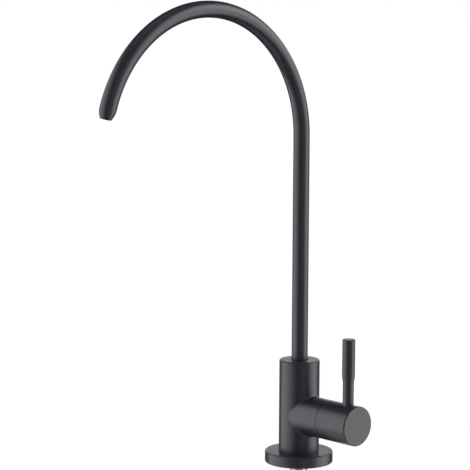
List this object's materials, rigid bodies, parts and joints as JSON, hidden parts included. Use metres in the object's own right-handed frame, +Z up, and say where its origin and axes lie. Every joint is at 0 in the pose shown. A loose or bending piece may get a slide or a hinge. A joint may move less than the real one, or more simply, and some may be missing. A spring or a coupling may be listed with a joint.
{
  "type": "drinking water filter tap",
  "caption": "Gooseneck drinking water tap with a swivel spout, a side lever turning a ceramic disc valve, and a threaded shank with clamp nut and push-fit inlet.",
  "frame": {"origin": "centre of the base plate on the worktop's surface", "axes": "+Z up along the barrel and the spout's riser, the spout points along -Y and the valve branch with its lever along +X"},
  "size_m": [0.0715, 0.1793, 0.366],
  "materials": {
    "black_coat": "satin black powder coat on stainless steel",
    "stainless_steel": "turned stainless steel",
    "turned_brass": "turned brass",
    "black_rubber": "moulded nitrile rubber",
    "ceramic_disc": "lapped alumina",
    "black_acetal": "moulded black acetal",
    "white_acetal": "moulded white acetal",
    "blue_acetal": "moulded blue acetal"
  },
  "bodies": {
    "root": {"base_plate": "black_coat", "base_gasket": "black_rubber", "foot_seal_ring": "black_rubber", "valve_body": "black_coat", "threaded_shank": "stainless_steel", "spout_set_screw": "stainless_steel", "spout_bush": "black_acetal", "hub_glide_ring": "black_acetal", "cartridge_housing": "turned_brass", "cartridge_o_ring": "black_rubber", "seat_seal": "black_rubber", "fixed_ceramic_disc": "ceramic_disc", "connector_body": "white_acetal", "connector_face_seal": "black_rubber", "connector_o_ring": "black_rubber", "connector_spacer": "white_acetal"},
    "spout": {"spout_tube": "black_coat", "spout_adapter": "turned_brass", "spout_o_ring_lower": "black_rubber", "spout_o_ring_upper": "black_rubber"},
    "handle": {"handle_hub": "black_coat", "lever": "black_coat", "hub_grub_screw": "stainless_steel", "valve_spindle": "turned_brass", "turning_ceramic_disc": "ceramic_disc", "spindle_o_ring_inner": "black_rubber", "spindle_o_ring_outer": "black_rubber", "spindle_thrust_washer": "white_acetal", "spindle_circlip": "stainless_steel"},
    "clamp": {"clamp_rubber_washer": "black_rubber", "clamp_steel_washer": "stainless_steel"},
    "nut": {"mounting_nut": "turned_brass"},
    "collet": {"connector_collet": "blue_acetal"}
  },
  "joints": [
    {"name": "spout_swivel", "type": "hinge", "parent": "root", "child": "spout", "pos_m": [0, 0, 0.05], "axis": [0, 0, 1], "continuous": true},
    {"name": "handle_turn", "type": "hinge", "parent": "root", "child": "handle", "pos_m": [0.03, 0, 0.0305], "axis": [1, 0, 0], "range_deg": [0, 90]},
    {"name": "clamp_travel", "type": "slide", "parent": "root", "child": "clamp", "axis": [0, 0, 1], "range_m": [-0.01, 0.019]},
    {"name": "nut_turn", "type": "hinge", "parent": "clamp", "child": "nut", "pos_m": [0, 0, -0.028], "axis": [0, 0, 1], "range_deg": [-3402, 6464]},
    {"name": "collet_release", "type": "slide", "parent": "root", "child": "collet", "axis": [0, 0, 1], "range_m": [0, 0.0015]}
  ],
  "couplings": [
    {"joint": "nut_turn", "follows": "clamp_travel", "rad_per_m": 5937.1}
  ]
}
